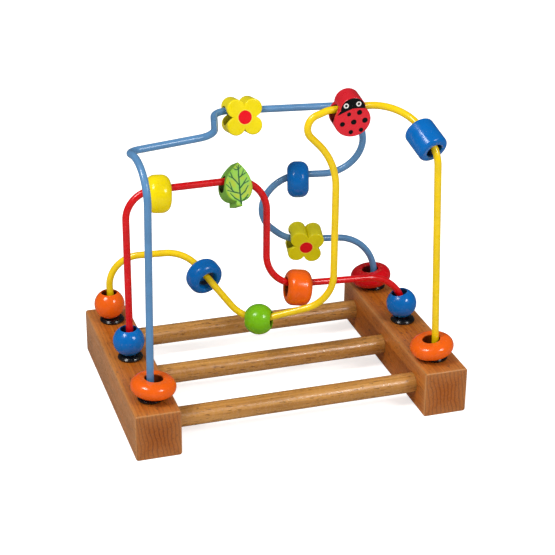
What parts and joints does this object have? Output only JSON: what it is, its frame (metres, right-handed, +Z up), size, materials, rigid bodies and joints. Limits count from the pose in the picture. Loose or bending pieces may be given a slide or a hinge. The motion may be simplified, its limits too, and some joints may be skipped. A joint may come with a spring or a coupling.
{
  "type": "bead maze",
  "caption": "Wooden wire bead maze: two foot blocks joined by round rails, bent coated wires standing in black sockets, and loose painted wooden beads that slide along the wires.",
  "frame": {"origin": "middle of the base on the surface that it stands on, under the middle rail, halfway between the two foot blocks", "axes": "+X along the rails from the left foot block to the right one, +Y from the front row of sockets to the back row, +Z up"},
  "size_m": [0.225, 0.158, 0.2114],
  "materials": {
    "beech": "stained and varnished beech",
    "black_plastic": "glossy moulded plastic",
    "blue_wire_paint": "gloss coated steel",
    "red_wire_paint": "gloss coated steel",
    "yellow_wire_paint": "gloss coated steel",
    "orange_bead_paint": "gloss painted wood",
    "blue_bead_paint": "gloss painted wood",
    "green_bead_paint": "gloss painted wood",
    "leaf_paint": "satin painted wood",
    "yellow_bead_paint": "gloss painted wood",
    "olive_bead_paint": "satin painted wood",
    "red_bead_paint": "gloss painted wood",
    "ladybird_paint": "satin painted wood"
  },
  "bodies": {
    "base": {"left_block": "beech", "right_block": "beech", "left_front_socket": "black_plastic", "left_middle_socket": "black_plastic", "left_back_socket": "black_plastic", "right_front_socket": "black_plastic", "right_middle_socket": "black_plastic", "right_back_socket": "black_plastic", "front_rail": "beech", "middle_rail": "beech", "back_rail": "beech", "blue_wire": "blue_wire_paint", "red_wire": "red_wire_paint", "yellow_wire": "yellow_wire_paint"},
    "orange_disc_left": {"orange_disc_left": "orange_bead_paint"},
    "upper_flower": {"upper_flower": "yellow_bead_paint"},
    "blue_barrel": {"blue_barrel": "blue_bead_paint"},
    "lower_flower": {"lower_flower": "olive_bead_paint"},
    "red_disc": {"red_disc": "red_bead_paint"},
    "blue_ball_left": {"blue_ball_left": "blue_bead_paint"},
    "yellow_bead": {"yellow_bead": "yellow_bead_paint"},
    "green_leaf": {"green_leaf": "leaf_paint"},
    "orange_bead": {"orange_bead": "orange_bead_paint"},
    "blue_ball_right": {"blue_ball_right": "blue_bead_paint"},
    "orange_ball": {"orange_ball": "orange_bead_paint"},
    "blue_ring": {"blue_ring": "blue_bead_paint"},
    "green_ball": {"green_ball": "green_bead_paint"},
    "ladybird": {"ladybird": "ladybird_paint"},
    "blue_cylinder": {"blue_cylinder": "blue_bead_paint"},
    "orange_disc_right": {"orange_disc_right": "orange_bead_paint"}
  },
  "joints": [
    {"name": "orange_disc_left_slide", "type": "slide", "parent": "base", "child": "orange_disc_left", "axis": [0.0127, 0, 0.9999], "range_m": [0, 0.12]},
    {"name": "upper_flower_slide", "type": "slide", "parent": "base", "child": "upper_flower", "axis": [0.9984, -0.047, -0.03], "range_m": [-0.003, 0.058]},
    {"name": "blue_barrel_round_bend", "type": "hinge", "parent": "base", "child": "blue_barrel", "pos_m": [0.03387, 0.04811, 0.10819], "axis": [-0.036, -0.9732, -0.2271], "range_deg": [-3, 125]},
    {"name": "lower_flower_slide", "type": "slide", "parent": "base", "child": "lower_flower", "axis": [0.9939, 0.042, -0.102], "range_m": [0, 0.014]},
    {"name": "red_disc_round_bend", "type": "hinge", "parent": "base", "child": "red_disc", "pos_m": [0.06453, 0.0566, 0.04221], "axis": [0.042, -0.9991, 0], "range_deg": [0, 50]},
    {"name": "blue_ball_left_slide", "type": "slide", "parent": "base", "child": "blue_ball_left", "axis": [0, 0, 1], "range_m": [0, 0.075]},
    {"name": "yellow_bead_slide", "type": "slide", "parent": "base", "child": "yellow_bead", "axis": [0.9999, 0, 0.0106], "range_m": [-0.005, 0.022]},
    {"name": "green_leaf_round_bend", "type": "hinge", "parent": "base", "child": "green_leaf", "pos_m": [-0.02693, 0, 0.12674], "axis": [0, 1, 0], "range_deg": [-6, 75]},
    {"name": "orange_bead_slide", "type": "slide", "parent": "base", "child": "orange_bead", "axis": [0.9988, 0, -0.0497], "range_m": [0, 0.036]},
    {"name": "blue_ball_right_round_bend", "type": "hinge", "parent": "base", "child": "blue_ball_right", "pos_m": [0.0685, 0, 0.03941], "axis": [0, -1, 0], "range_deg": [0, 60]},
    {"name": "orange_ball_slide", "type": "slide", "parent": "base", "child": "orange_ball", "axis": [-0.046, 0, 0.9989], "range_m": [0, 0.012]},
    {"name": "blue_ring_slide", "type": "slide", "parent": "base", "child": "blue_ring", "axis": [0.4701, -0.6721, -0.5721], "range_m": [-0.007, 0.014]},
    {"name": "green_ball_round_bend", "type": "hinge", "parent": "base", "child": "green_ball", "pos_m": [-0.00297, 0.01104, 0.07355], "axis": [-0.436, -0.7401, 0.512], "range_deg": [-25, 22]},
    {"name": "ladybird_slide", "type": "slide", "parent": "base", "child": "ladybird", "axis": [0.9995, 0, 0.0308], "range_m": [-0.012, 0.012]},
    {"name": "blue_cylinder_slide", "type": "slide", "parent": "base", "child": "blue_cylinder", "axis": [0.2589, -0.8467, -0.4648], "range_m": [-0.005, 0.002]},
    {"name": "orange_disc_right_slide", "type": "slide", "parent": "base", "child": "orange_disc_right", "axis": [-0.041, 0, 0.9992], "range_m": [0, 0.11]}
  ]
}
